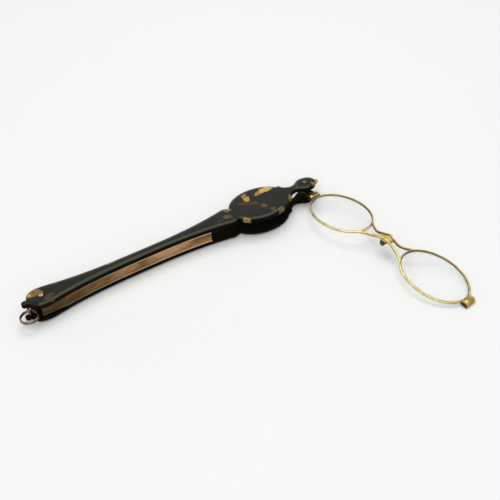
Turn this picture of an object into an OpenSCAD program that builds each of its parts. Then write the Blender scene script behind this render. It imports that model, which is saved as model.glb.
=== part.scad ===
// Folding lorgnette, open, with its handle lying along X.
// Z = 0 is the under face of the handle and X = Y = 0 is the axis of the head rivet.
// The spectacles are built flat in their own frame, then swung out about that rivet.

/* [Handle] */
// distance between the head rivet and the tail rivet
rivet_pitch = 150; // [130:0.5:170]
// half width of the grip where it is narrowest
grip_half = 2.5; // [2.3:0.05:3.2]
// where the grip is narrowest, from the head rivet
grip_waist = 92; // [84:0.5:100]
// how much the grip widens towards the oval, each side
grip_swell = 3.85; // [3:0.05:4.6]
// how much the grip widens before the rounded tail, each side
tail_swell = 3.25; // [2.6:0.05:3.8]
// where the tail begins to round off, before the tail rivet
tail_start = 6; // [4:0.1:8]
// length of the rounded tail
tail_round = 12.9; // [11:0.1:15]
// length of the beak past the rounded tail
beak_length = 2.8; // [2:0.1:3.6]
// half width of the beak
beak_half = 1.35; // [1:0.05:1.6]
// thickness of the front shell plate
front_t = 2.7; // [2.2:0.05:3.4]
// thickness of the back shell plate
back_t = 2; // [1.7:0.05:3]
// height of the bevel round each plate
bevel_h = 0.5; // [0.3:0.05:0.9]
// width of the bevel round each plate
bevel_w = 1.6; // [0.8:0.05:1.8]
// gap between the two plates
slot_h = 6; // [5.6:0.05:7]

/* [Oval and head] */
// half length of the oval that covers the folded lenses
oval_a = 16.9; // [16:0.05:18.5]
// half width of the oval
oval_b = 12.9; // [12.6:0.05:14.5]
// centre of the oval, from the head rivet
oval_reach = 29.2; // [28.4:0.05:30]
// half length of the rounded shoulder where the grip meets the oval
shoulder_round = 6; // [5:0.1:7]
// how far the shoulder's widest place lies past the oval
shoulder_gap = 2.5; // [2:0.1:3.5]
// half width of the neck behind the head
neck_half = 2.05; // [1.8:0.05:2.6]
// where the neck is narrowest, from the head rivet
neck_reach = 7.4; // [7:0.1:8.4]
// how much the neck flares out to the oval, each side
neck_flare = 4.3; // [3.4:0.1:5]
// half width of the head
head_half = 4.8; // [4.2:0.05:5.6]
// length of the head past its rivet
head_nose = 6; // [5:0.05:6.5]
// radius of the two small ears between the oval and the neck
ear_r = 1.3; // [1:0.05:1.6]
// where the ears are, from the head rivet
ear_reach = 13.65; // [13:0.05:14.2]
// distance of each ear's centre from the handle's middle
ear_y = 5.15; // [4.8:0.05:5.6]

/* [Band and core] */
// thickness of the gilt band at its rounded edges
band_t = 0.7; // [0.5:0.05:0.9]
// how far the band's middle lies below its edges
band_dish = 0.2; // [0.1:0.02:0.3]
// height of each rounded edge of the band
band_edge = 0.8; // [0.5:0.05:1.2]
// how far the band lies in from the edge of the plates
band_inset = 0.25; // [0.15:0.05:0.5]
// half width over the band under the flared tail
tail_band_half = 4.6; // [4.2:0.05:5.2]
// length of the core past the tail rivet
core_tail = 2.4; // [2:0.1:3]

/* [Rivets] */
// radius of both rivets
rivet_r = 0.9; // [0.7:0.05:1]
// radius of the rivet's domed head
rivet_head_r = 1.65; // [1.4:0.05:2]
// height of the rivet's domed head
rivet_head_h = 0.35; // [0.2:0.05:0.6]
// depth of the peened foot in the back plate
rivet_foot_h = 0.6; // [0.4:0.05:0.8]

/* [Eye and ring] */
// radius of the wire of the eye
eye_wire_r = 0.45; // [0.35:0.05:0.5]
// radius of the eye to the middle of its wire
eye_r = 1.75; // [1.7:0.05:1.95]
// how far the eye stands past the tail rivet
eye_reach = 7.4; // [7.2:0.1:8]
// how far the eye is set to the near side
eye_side = 0.2; // [0:0.05:0.5]
// radius of the split ring to the middle of its wire
ring_r = 4.15; // [3.8:0.05:4.6]
// radius of the split ring's wire
ring_wire_r = 0.4; // [0.3:0.02:0.42]
// how far the middle of the ring lies past the eye
ring_lead = 1.2; // [0.8:0.1:1.6]
// slope of the ring as it lies, in degrees
ring_slope = 0; // [-4:1:4]

/* [Spectacles] */
// direction of the open spectacles from the handle, in degrees
open_angle = -81.8; // [-95:0.1:-75]
// how far the line of the lenses passes beside the head rivet
line_offset = 1.3; // [0:0.05:1.5]
// head rivet to the centre of the near lens
lens_reach = 28.4; // [28:0.05:29.5]
// head rivet to the pin of the bridge hinge
pin_reach = 59.2; // [58.8:0.05:61]
// how far the far lens droops at the open stop, in degrees
droop = 9.3; // [0:0.1:14]
// height of each lens above the hinge pin
lens_lift = 0.95; // [0.95:0.01:1.2]

/* [Rims and lenses] */
// half length of the rim to the middle of its wire
rim_a = 18.5; // [17.5:0.05:18.7]
// half width of the rim to the middle of its wire
rim_b = 12.95; // [12:0.05:13.2]
// width of the rim's wire
rim_w = 1.1; // [0.9:0.02:1.2]
// height of the rim's wire
rim_h = 1.2; // [1:0.02:1.4]
// height of the groove in the rim and thickness of the lens edge
groove_h = 0.64; // [0.5:0.02:0.7]
// depth of the groove
groove_d = 0.35; // [0.25:0.01:0.4]
// gap between the lens edge and the bottom of the groove
lens_gap = 0.05; // [0.02:0.01:0.1]
// thickness of each lens at its centre
lens_t = 1.1; // [0.8:0.02:1.2]
// width of the saw cut in each rim
rim_split = 0.25; // [0.15:0.01:0.4]

/* [Bridge] */
// width of each bridge arm
arm_w = 1; // [0.8:0.02:1.2]
// height of each bridge arm
arm_h = 0.9; // [0.7:0.02:1]
// distance of each arm from the middle line at the hinge
arm_y = 1.5; // [1.3:0.05:1.8]
// where each arm leaves its rim, as an angle round the lens
arm_from = 31; // [28:0.5:40]
// radius of the hinge barrel
barrel_r = 1.3; // [1.1:0.02:1.3]
// half length of the hinge barrel
barrel_half = 3.2; // [2.6:0.05:3.3]
// half length of the middle knuckle
knuckle_half = 1; // [0.8:0.05:1.3]
// gap between knuckles
knuckle_gap = 0.1; // [0.05:0.01:0.2]
// radius of the hinge pin
pin_r = 0.5; // [0.4:0.02:0.6]
// half length of the six-sided bridge plate
plate_half = 3.7; // [3:0.05:4]
// half width of the six-sided bridge plate
plate_side = 2.85; // [2.4:0.05:3]
// half width of the pointed ends of the bridge plate
plate_tip = 0.95; // [0.7:0.05:1.3]
// thickness of the bridge plate
leaf_t = 0.55; // [0.4:0.02:0.7]

/* [End blocks] */
// half length of each closing block across the lens
block_half = 3.3; // [2.8:0.05:3.8]
// length of each closing block outside the rim
block_len = 2.6; // [2.3:0.05:3]
// how far a block reaches above the middle of its lens
block_top = 1.25; // [1:0.02:1.3]
// how far a block reaches below the middle of its lens
block_foot = 0.9; // [0.7:0.02:0.92]
// height of the joint between the two jaws above the middle of the lens
jaw_split = 0.15; // [0:0.01:0.3]
// width and depth of the line cut across each upper jaw beside the rim
block_line = 0.3; // [0.2:0.02:0.4]
// how far the far block's lower jaw sticks out as a lip
lip = 0.6; // [0.3:0.05:0.7]
// how far the closing screw sits to one side of the block's middle
screw_side = 1.4; // [0:0.05:1.8]
// radius of the closing screw
screw_r = 0.45; // [0.35:0.02:0.5]
// radius of the closing screw's head
screw_head_r = 0.85; // [0.7:0.02:1]
// height of the closing screw's head
screw_head_h = 0.22; // [0.15:0.01:0.24]

/* [Tang and knob] */
// radius of the tang's hub
hub_r = 2.05; // [1.8:0.05:2.4]
// half width of the tang's arm
tang_half = 1.6; // [1.3:0.05:2]
// direction of the thumb lever from the open spectacles, in degrees
lever_angle = 103; // [85:1:120]
// head rivet to the centre of the thumb knob
lever_reach = 10.4; // [9.6:0.1:12]
// half width of the thumb lever
lever_half = 0.8; // [0.6:0.05:1]
// half thickness of the thumb lever
lever_t = 0.6; // [0.5:0.05:0.9]
// radius of the thumb knob
knob_r = 1.4; // [1.2:0.05:1.7]
// half height of the thumb knob
knob_h = 1.05; // [0.9:0.05:1.4]

/* [Clearances] */
// gap round each moving pin
run_gap = 0.05; // [0.03:0.01:0.08]
// gap above and below the tang's hub
hub_gap = 0.1; // [0.05:0.01:0.2]
// gap between the two leaves of the bridge plate at the stop
stop_gap = 0.04; // [0.02:0.01:0.1]
// gap between the hinge barrel and the core when the lenses are put away
stow_gap = 0.4; // [0.3:0.05:0.6]

/* [Hidden] */
slot_z = back_t;
front_z = back_t + slot_h;
pin_z = back_t + slot_h / 2;
lens_z = pin_z + lens_lift;
total_h = back_t + slot_h + front_t;
bridge_len = pin_reach - lens_reach;
rim_out_a = rim_a + rim_w / 2;
rim_out_b = rim_b + rim_w / 2;
stow_r = pin_reach + barrel_r + stow_gap;
shoulder_x = -(oval_reach + oval_a + shoulder_gap);
tail_x = -(rivet_pitch - tail_start);
head_x = -head_nose * 0.08;
beak_tip = tail_x - tail_round - beak_length;
leaf_z = lens_lift + arm_h / 2;
tang_low = lens_z - block_foot;
tang_top = lens_z + block_top - 0.1;
n_grip = 48;
n_rim = 60;
$fn = 48;

// half width of the grip at x, from its narrow place to the shoulder and to the tail
function swell(x) = x > -grip_waist
    ? grip_swell * pow((x + grip_waist) / (grip_waist + shoulder_x), 2.4)
    : tail_swell * pow((-grip_waist - x) / (-grip_waist - tail_x), 3.2);
function flank(x) = grip_half + swell(x);
// half width over the band, which keeps straight on under the flared tail
function band_out(x) = min(flank(x) - band_inset, tail_band_half);

// fall from 1 to 0 along a rounded end, squarer where p is larger
function rounded(u, p) = pow(max(0, 1 - pow(max(0, u), p)), 1 / p);
function smooth(t) = (1 - cos(180 * t)) / 2;

// closed outline of a shape that is alike on both sides of X, from its points with Y above 0
function both_sides(top) = concat([for (p = top) [p[0], -p[1]]], [for (i = [len(top) - 1:-1:0]) top[i]]);

// half width of each stretch of the handle at x, drawn in by d for the bevel
function grip_side(x, d) = x > shoulder_x
    ? (flank(shoulder_x) - d) * rounded((x - shoulder_x) / (shoulder_round - d), 2)
    : x < tail_x ? (flank(x) - d) * rounded((tail_x - x) / (tail_round - d), 2.2)
    : flank(x) - d;
function oval_side(x, d) = (oval_b - d) * rounded(abs(x + oval_reach) / (oval_a - d), 2);
function neck_side(x, d) = x < -ear_reach - 3 ? 0
    : neck_half - d + neck_flare * pow(min(1, (-x - neck_reach) / (ear_reach - neck_reach)), 2)
        + 0.08 * pow(max(0, -x - ear_reach), 2);
function head_side(x, d) = x < head_x
    ? neck_half - d + (head_half - neck_half) * smooth((x + neck_reach) / (head_x + neck_reach))
    : (head_half - d) * rounded((x - head_x) / (head_nose - head_x - d), 2.3);
function ear_side(x, d) = d > 0 || abs(x + ear_reach) > ear_r ? 0
    : ear_y + sqrt(pow(ear_r, 2) - pow(x + ear_reach, 2));
function beak_side(x, d) = x > tail_x - tail_round / 2 ? 0
    : (beak_half - d) * rounded((beak_tip + beak_half - x) / (beak_half - d), 2)
        + 0.08 * pow(max(0, x - beak_tip - beak_half), 2);
function handle_side(x, d) = x > -neck_reach ? head_side(x, d)
    : max(grip_side(x, d), oval_side(x, d), neck_side(x, d), ear_side(x, d),
        beak_side(x, min(d, beak_half - 0.7)));

// stations along the handle: the beak, the tail, the grip, the oval, the neck and the head
stretches = [
    [beak_tip, beak_tip + beak_half, 5],
    [beak_tip + beak_half, tail_x - tail_round * 0.8, 7],
    [tail_x - tail_round * 0.8, tail_x, 10],
    [tail_x, shoulder_x, 24],
    [shoulder_x, shoulder_x + 5, 9],
    [shoulder_x + 5, -oval_reach + 2, 12],
    [-oval_reach + 2, -ear_reach - ear_r, 10],
    [-ear_reach - ear_r, -ear_reach + ear_r, 10],
    [-ear_reach + ear_r, head_x, 12],
    [head_x, head_nose, 9]
];
stations = concat(
    [for (s = stretches) for (i = [0:s[2] - 1]) s[0] + (s[1] - s[0]) * spread(s, i / s[2])],
    [head_nose]
);
// stations crowd together towards the two blunt tips
function spread(s, t) = s[1] == head_nose ? sin(90 * t) : s[0] == beak_tip ? 1 - cos(90 * t) : t;
function drawn_in(x, d) = x > head_x ? head_x + (x - head_x) * (head_nose - head_x - d) / (head_nose - head_x)
    : x < beak_tip + beak_half ? beak_tip + beak_half
        - (beak_tip + beak_half - x) * (beak_half - min(d, beak_half - 0.7)) / beak_half
    : x;
function handle_outline(d) = both_sides([for (s = stations) let (x = drawn_in(s, d))
    [x, max(0.2, handle_side(x, d))]]);

// solid between stacked outlines, each with the same number of points
// its two flat ends are one face each, or strips across where the outline isn't convex
module stack(rings, heights, strips = false) {
    n = len(rings[0]);
    m = len(rings);
    end = (m - 1) * n;
    points = [for (k = [0:m - 1]) for (p = rings[k]) [p[0], p[1], heights[k]]];
    walls = [for (k = [0:m - 2]) for (i = [0:n - 1]) let (j = (i + 1) % n)
        [k * n + i, (k + 1) * n + i, (k + 1) * n + j, k * n + j]];
    low = strips ? [for (i = [0:n / 2 - 2]) [i, i + 1, n - 2 - i, n - 1 - i]] : [[for (i = [0:n - 1]) i]];
    high = [for (face = low) [for (i = [len(face) - 1:-1:0]) end + face[i]]];
    polyhedron(points = points, faces = concat(walls, low, high), convexity = 8);
}

// one shell plate with its flat inner face at Z = 0 and its bevel above
module plate_form(thick) {
    outlines = [for (d = [0, 0, bevel_w]) handle_outline(d)];
    stack(outlines, [0, thick - bevel_h, thick], strips = true);
}

module front_plate() color([0.12, 0.08, 0.05]) {
    difference() {
        translate([0, 0, front_z])
            plate_form(front_t);
        rivet_bores();
    }
}

module back_plate() color([0.16, 0.1, 0.06]) {
    difference() {
        translate([0, 0, slot_z])
            mirror([0, 0, 1])
                plate_form(back_t);
        rivet_bores();
        for (x = [0, -rivet_pitch]) {
            translate([x, 0, 0])
                rivet_foot();
        }
    }
}

module rivet_bores() {
    for (x = [0, -rivet_pitch]) {
        translate([x, 0, -1])
            cylinder(h = total_h + 2, r = rivet_r);
    }
}

module rivet_foot() {
    cylinder(h = rivet_foot_h, r1 = rivet_head_r, r2 = rivet_r);
}

// a rivet from the peened foot in the back plate to the dome on the front plate
module rivet(x) {
    translate([x, 0, 0]) {
        cylinder(h = total_h, r = rivet_r);
        rivet_foot();
        translate([0, 0, total_h])
            dome(rivet_head_r, rivet_head_h);
    }
}

// a low cap cut from a ball
module dome(r, h) {
    ball = (r * r + h * h) / (2 * h);
    intersection() {
        translate([0, 0, h - ball])
            sphere(r = ball, $fn = 72);
        cylinder(h = h, r = r);
    }
}

module head_rivet() color([0.8, 0.66, 0.42]) {
    rivet(0);
}

module tail_rivet() color([0.8, 0.66, 0.42]) {
    rivet(-rivet_pitch);
}

// stations along the band and core, from the arc that clears the bridge to the tail
function band_x(i) = -stow_r + 3 + (-rivet_pitch - core_tail + stow_r - 3) * i / n_grip;

module along_band(inner, outer, low, high) {
    points = concat(
        [for (i = [0:n_grip]) [band_x(i), band_out(band_x(i)) - inner]],
        [for (i = [n_grip:-1:0]) [band_x(i), band_out(band_x(i)) - outer]]
    );
    difference() {
        translate([0, 0, low])
            linear_extrude(high - low)
                polygon(points);
        stow_arc();
    }
}

// the arc that the bridge hinge follows as the folded lenses swing in
module stow_arc() {
    translate([0, 0, slot_z - 1])
        cylinder(h = slot_h + 2, r = stow_r, $fn = 240);
}

module handle_core() color([0.2, 0.12, 0.08]) {
    difference() {
        translate([0, 0, slot_z])
            linear_extrude(slot_h)
                polygon(both_sides([for (i = [0:n_grip]) [band_x(i), band_out(band_x(i)) - band_t]]));
        stow_arc();
        rivet_bores();
        eye_shank();
    }
}

// a gilt strip with two raised edges and a sunk middle
module band() {
    low = slot_z + band_edge;
    high = front_z - band_edge;
    along_band(band_t, 0, slot_z, low);
    along_band(band_t, band_dish, low, high);
    along_band(band_t, 0, high, front_z);
}

module near_band() color([0.75, 0.6, 0.38]) {
    mirror([0, 1, 0])
        band();
}

module far_band() color([0.75, 0.6, 0.38]) {
    band();
}

eye_x = -(rivet_pitch + eye_reach);
ring_slack = 0.15;

module eye_shank() {
    translate([eye_x, eye_r - eye_side, pin_z])
        rotate([0, 90, 0])
            cylinder(h = eye_reach - core_tail + 1.8, r = eye_wire_r, $fn = 32);
}

// a round eye bent across the end of its own shank, which is let into the core
module ring_eye() color([0.7, 0.56, 0.34]) {
    eye_shank();
    translate([eye_x, -eye_side, pin_z])
        rotate([0, 90, 0])
            rotate_extrude($fn = 64)
                translate([eye_r, 0])
                    circle(r = eye_wire_r, $fn = 24);
}

// two turns of wire lying side by side, each with its own cut end
module split_ring() color([0.72, 0.52, 0.36]) {
    translate([eye_x, -eye_side - ring_slack, pin_z - ring_slack])
        rotate([-ring_slope, 0, 0])
            ring_turns();
}

module ring_turns() {
    lift = ring_wire_r * 0.98;
    translate([-ring_lead, -sqrt(pow(ring_r, 2) - pow(ring_lead, 2)), 0]) {
        difference() {
            union() {
                for (side = [-1, 1]) {
                    translate([0, 0, side * lift])
                        rotate_extrude($fn = 72)
                            translate([ring_r, 0])
                                circle(r = ring_wire_r, $fn = 20);
                }
            }
            for (side = [-1, 1]) {
                rotate([0, 0, side > 0 ? 200 : 235])
                    translate([ring_r - 1, -0.08, side > 0 ? 0.02 : -2.02])
                        cube([2, 0.16, 2]);
            }
        }
    }
}

// from here the frames of the open spectacles, of each lens and of the bridge pin
module in_spectacles() {
    rotate([0, 0, open_angle])
        translate([0, -line_offset, 0])
            children();
}

module at_near_lens() {
    in_spectacles()
        translate([lens_reach, 0, lens_z])
            children();
}

module at_pin() {
    in_spectacles()
        translate([pin_reach, 0, pin_z])
            children();
}

module at_far_lens() {
    at_pin()
        rotate([0, droop, 0])
            mirror([1, 0, 0])
                translate([-bridge_len, 0, lens_lift])
                    children();
}

// a point at the given distance outside the middle line of the rim
function rim_point(t, d) = let (nx = rim_b * cos(t), ny = rim_a * sin(t), n = norm([nx, ny]))
    [rim_a * cos(t) + d * nx / n, rim_b * sin(t) + d * ny / n];
function rim_loop(d) = [for (i = [0:n_rim - 1]) rim_point(360 * i / n_rim, d)];

// the rim's section, as offsets from its middle line: a rounded bar with a groove inside
function rim_section() = let (w = rim_w / 2, h = rim_h / 2, g = groove_h / 2)
    [[w, -h * 0.45], [w, h * 0.45], [w * 0.45, h], [-w * 0.6, h], [-w, h * 0.75], [-w, g],
     [groove_d - w, g], [groove_d - w, -g], [-w, -g], [-w, -h * 0.75], [-w * 0.6, -h], [w * 0.45, -h]];

module rim() {
    section = rim_section();
    m = len(section);
    points = [for (i = [0:n_rim - 1]) for (s = section)
        let (p = rim_point(360 * i / n_rim, s[0])) [p[0], p[1], s[1]]];
    faces = [for (i = [0:n_rim - 1]) for (k = [0:m - 1])
        let (j = (i + 1) % n_rim, q = (k + 1) % m)
        [i * m + k, i * m + q, j * m + q, j * m + k]];
    difference() {
        polyhedron(points = points, faces = faces, convexity = 10);
        translate([-rim_out_a - 1, -rim_split / 2, -rim_h])
            cube([rim_w + 2, rim_split, 2 * rim_h]);
    }
}

// a lens with a flat edge in the rim's groove and both faces gently domed
module lens() {
    edge = -rim_w / 2 + groove_d - lens_gap;
    face = -rim_w / 2;
    g = groove_h / 2;
    crown = lens_t / 2 - g;
    shares = [1, 0.66, 0.33, 0.02];
    function face_loop(f) = [for (p = rim_loop(face)) [p[0] * f, p[1] * f]];
    stack(
        concat(
            [for (i = [3:-1:0]) face_loop(shares[i])],
            [rim_loop(edge), rim_loop(edge)],
            [for (i = [0:3]) face_loop(shares[i])]
        ),
        concat(
            [for (i = [3:-1:0]) -g - crown * (1 - pow(shares[i], 2))],
            [-g, g],
            [for (i = [0:3]) g + crown * (1 - pow(shares[i], 2))]
        )
    );
}

// the space inside the rim's outer edge, to fit what is joined to the rim
module rim_disc() {
    translate([0, 0, -3])
        linear_extrude(6)
            polygon(rim_loop(rim_w / 2));
}

function curve(a, b, c, d, t) = pow(1 - t, 3) * a + 3 * pow(1 - t, 2) * t * b
    + 3 * (1 - t) * t * t * c + t * t * t * d;

// one curved arm, which leaves the rim along its own line and runs in beside the hinge
module bridge_arm() {
    p0 = rim_point(arm_from, 0);
    ahead = [rim_a * sin(arm_from), -rim_b * cos(arm_from)];
    p1 = p0 + ahead * 3.4 / norm(ahead);
    p3 = [bridge_len - barrel_r - 0.2, arm_y];
    p2 = [p3[0] - 6.6, arm_y - 0.15];
    n = 20;
    path = [for (i = [0:n]) curve(p0, p1, p2, p3, i / n)];
    heading = [for (i = [0:n]) path[min(n, i + 1)] - path[max(0, i - 1)]];
    side = [for (h = heading) [-h[1], h[0]] * arm_w / 2 / norm(h)];
    translate([0, 0, -arm_h / 2])
        linear_extrude(arm_h)
            polygon(concat([for (i = [0:n]) path[i] + side[i]], [for (i = [n:-1:0]) path[i] - side[i]]));
}

module fitted_arm(side) {
    difference() {
        mirror([0, side, 0])
            bridge_arm();
        rim_disc();
    }
}

// half of the six-sided bridge plate, with X = 0 over the pin
module half_plate(reach) {
    translate([0, 0, leaf_z])
        linear_extrude(leaf_t)
            polygon([
                [reach, plate_side],
                [-plate_half * 0.35, plate_side],
                [-plate_half, plate_tip],
                [-plate_half, -plate_tip],
                [-plate_half * 0.35, -plate_side],
                [reach, -plate_side]
            ]);
}

// a stretch of the hinge barrel with the web that hangs it from its half plate
module knuckle(from, to) {
    translate([0, from, 0])
        rotate([-90, 0, 0])
            cylinder(h = to - from, r = barrel_r);
    translate([-barrel_r, from, 0])
        cube([barrel_r - stop_gap / 2, to - from, leaf_z]);
}

module pin_bore(r) {
    translate([0, -barrel_half - 1, 0])
        rotate([-90, 0, 0])
            cylinder(h = 2 * barrel_half + 2, r = r);
}

module near_leaf() color([0.85, 0.7, 0.4]) {
    at_pin() {
        difference() {
            union() {
                half_plate(-stop_gap / 2);
                for (side = [-1, 1]) {
                    near_from = side > 0 ? knuckle_half + knuckle_gap : -barrel_half;
                    near_to = side > 0 ? barrel_half : -knuckle_half - knuckle_gap;
                    knuckle(near_from, near_to);
                }
            }
            pin_bore(pin_r);
        }
    }
}

module far_leaf() color([0.85, 0.7, 0.4]) {
    at_pin() {
        difference() {
            rotate([0, droop, 0])
                mirror([1, 0, 0])
                    difference() {
                        union() {
                            half_plate(1);
                            knuckle(-knuckle_half, knuckle_half);
                        }
                        pin_bore(pin_r + run_gap);
                    }
            translate([-4 + stop_gap / 2, -5, leaf_z - 0.3])
                cube([4, 10, 3]);
        }
    }
}

module hinge_pin() color([0.6, 0.5, 0.34]) {
    at_pin() {
        translate([0, -barrel_half - 0.2, 0])
            rotate([-90, 0, 0])
                cylinder(h = 2 * barrel_half + 0.4, r = pin_r);
    }
}

// one jaw of a closing block, fitted to the rim and bored for the screw
module jaw(low, high, extra) {
    difference() {
        translate([-rim_out_a - block_len - extra, -block_half, low])
            cube([block_len + extra + 1.2, 2 * block_half, high - low]);
        rim_disc();
        translate([-rim_out_a - 1.5 * block_line, -block_half - 1, block_top - block_line])
            cube([block_line, 2 * block_half + 2, block_line + 1]);
        translate([block_screw_x, -screw_side, low - 1])
            cylinder(h = high - low + 2, r = screw_r, $fn = 32);
    }
}

block_screw_x = -rim_out_a - block_len / 2;

module closing_screw() {
    translate([block_screw_x, -screw_side, 0]) {
        translate([0, 0, -block_foot])
            cylinder(h = block_foot + block_top, r = screw_r, $fn = 32);
        difference() {
            translate([0, 0, block_top])
                cylinder(h = screw_head_h, r = screw_head_r, $fn = 32);
            translate([-screw_head_r, -0.12, block_top + screw_head_h / 2])
                cube([2 * screw_head_r, 0.24, screw_head_h]);
        }
    }
}

module near_rim() color([0.85, 0.7, 0.4]) {
    at_near_lens()
        rim();
}

module near_lens() color([0.8, 0.9, 0.95, 0.35]) {
    at_near_lens()
        lens();
}

module near_arm_left() color([0.85, 0.7, 0.4]) {
    at_near_lens()
        fitted_arm(0);
}

module near_arm_right() color([0.85, 0.7, 0.4]) {
    at_near_lens()
        fitted_arm(1);
}

module near_block_upper() color([0.82, 0.66, 0.36]) {
    at_near_lens()
        jaw(jaw_split, block_top, 0);
}

module near_block_lower() color([0.78, 0.62, 0.34]) {
    at_near_lens()
        jaw(-block_foot, jaw_split, 0);
}

module near_block_screw() color([0.6, 0.5, 0.34]) {
    at_near_lens()
        closing_screw();
}

module far_rim() color([0.85, 0.7, 0.4]) {
    at_far_lens()
        rim();
}

module far_lens() color([0.8, 0.9, 0.95, 0.35]) {
    at_far_lens()
        lens();
}

module far_arm_left() color([0.85, 0.7, 0.4]) {
    at_far_lens()
        fitted_arm(0);
}

module far_arm_right() color([0.85, 0.7, 0.4]) {
    at_far_lens()
        fitted_arm(1);
}

module far_block_upper() color([0.82, 0.66, 0.36]) {
    at_far_lens()
        jaw(jaw_split, block_top, 0);
}

module far_block_lower() color([0.78, 0.62, 0.34]) {
    at_far_lens()
        jaw(-block_foot, jaw_split, lip);
}

module far_block_screw() color([0.6, 0.5, 0.34]) {
    at_far_lens()
        closing_screw();
}

// the tang: a hub on the head rivet, an arm to the near block and the thumb lever
module tang() color([0.8, 0.64, 0.36]) {
    block_face = lens_reach - rim_out_a - block_len;
    in_spectacles() {
        difference() {
            union() {
                translate([0, line_offset, slot_z + hub_gap])
                    cylinder(h = slot_h - 2 * hub_gap, r = hub_r);
                translate([0, -tang_half, tang_low])
                    cube([block_face, 2 * tang_half, tang_top - tang_low]);
                translate([0, line_offset, 0])
                    rotate([0, 0, lever_angle])
                        translate([0, -lever_half, pin_z - lever_t])
                            cube([lever_reach - knob_r + 0.3, 2 * lever_half, 2 * lever_t]);
            }
            translate([0, line_offset, 0])
                cylinder(h = total_h, r = rivet_r + run_gap);
            thumb_knob_form();
        }
    }
}

module thumb_knob_form() {
    translate([0, line_offset, pin_z])
        rotate([0, 0, lever_angle])
            translate([lever_reach, 0, 0])
                rotate_extrude()
                    polygon([
                        [0, -knob_h],
                        [knob_r * 0.75, -knob_h],
                        [knob_r, -knob_h * 0.6],
                        [knob_r, knob_h * 0.6],
                        [knob_r * 0.75, knob_h],
                        [0, knob_h]
                    ]);
}

module thumb_knob() color([0.85, 0.7, 0.4]) {
    in_spectacles()
        thumb_knob_form();
}

front_plate();
back_plate();
handle_core();
near_band();
far_band();
head_rivet();
tail_rivet();
ring_eye();
split_ring();
tang();
thumb_knob();
near_block_upper();
near_block_lower();
near_block_screw();
near_rim();
near_lens();
near_arm_left();
near_arm_right();
near_leaf();
hinge_pin();
far_leaf();
far_arm_left();
far_arm_right();
far_rim();
far_lens();
far_block_upper();
far_block_lower();
far_block_screw();
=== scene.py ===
# A folding lorgnette, open: a handle of two tortoiseshell plates with gilt bands between them,
# and gilt spectacles that fold at the bridge and swing out of the handle's head.
# The sizes are in millimetres and put_mesh turns them into metres. X runs along the handle, Z is up.
import bmesh
import bpy
import numpy as np
from mathutils import Matrix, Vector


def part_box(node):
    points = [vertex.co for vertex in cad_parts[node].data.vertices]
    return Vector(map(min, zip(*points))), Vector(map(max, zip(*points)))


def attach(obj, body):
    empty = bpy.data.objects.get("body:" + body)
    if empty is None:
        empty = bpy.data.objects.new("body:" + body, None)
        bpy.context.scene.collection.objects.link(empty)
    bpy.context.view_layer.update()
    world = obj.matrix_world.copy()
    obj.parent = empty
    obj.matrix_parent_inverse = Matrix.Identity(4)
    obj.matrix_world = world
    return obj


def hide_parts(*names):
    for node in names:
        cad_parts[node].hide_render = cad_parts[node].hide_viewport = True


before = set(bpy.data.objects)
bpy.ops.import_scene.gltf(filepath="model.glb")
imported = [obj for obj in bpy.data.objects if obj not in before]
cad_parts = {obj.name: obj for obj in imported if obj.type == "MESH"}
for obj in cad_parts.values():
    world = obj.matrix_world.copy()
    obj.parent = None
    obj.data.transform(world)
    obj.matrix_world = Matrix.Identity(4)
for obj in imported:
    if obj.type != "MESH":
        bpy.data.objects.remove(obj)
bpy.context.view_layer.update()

# --- Camera
# The photograph looks down on the open spectacles from beside the tail, through a short
# telephoto lens. It is a little turned, because the handle lies rolled by the drooping lens.
camera = bpy.data.cameras.new("camera")
camera.sensor_width = 36.0
camera.lens = 57.66
camera.clip_start = 0.01
camera.clip_end = 50.0
viewpoint = bpy.data.objects.new("camera", camera)
bpy.context.scene.collection.objects.link(viewpoint)
ahead = np.array([0.382491, 0.67194, -0.634191])
rightward = np.array([0.841636, -0.536597, -0.060932])
upward = np.cross(rightward, ahead)
stance = np.eye(4)
stance[:3, 0], stance[:3, 1], stance[:3, 2] = rightward, upward, -ahead
stance[:3, 3] = -0.202331, -0.290716, 0.256274
viewpoint.matrix_world = Matrix(stance.tolist())
bpy.context.scene.camera = viewpoint
bpy.context.scene.view_settings.view_transform = "Standard"

# --- Table and light
# A pale matt table under the handle's far edge and the end of the drooping lens, a soft lamp
# overhead and a little behind, and a wider one in front, in a pale room.
handle_edge = 0.0113
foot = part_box("far_block_lower")[0]
slope = -foot[2] / (handle_edge - foot[1])


def smooth(t):
    """A cosine step from 0 to 1."""
    return (1 - np.cos(np.pi * np.clip(t, 0, 1))) / 2


def linear(red, green, blue):
    """The linear colour of an sRGB colour whose parts run from 0 to 255."""
    s = np.array([red, green, blue]) / 255.0
    out = np.where(s <= 0.04045, s / 12.92, ((s + 0.055) / 1.055) ** 2.4)
    return (*out.tolist(), 1.0)


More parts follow.
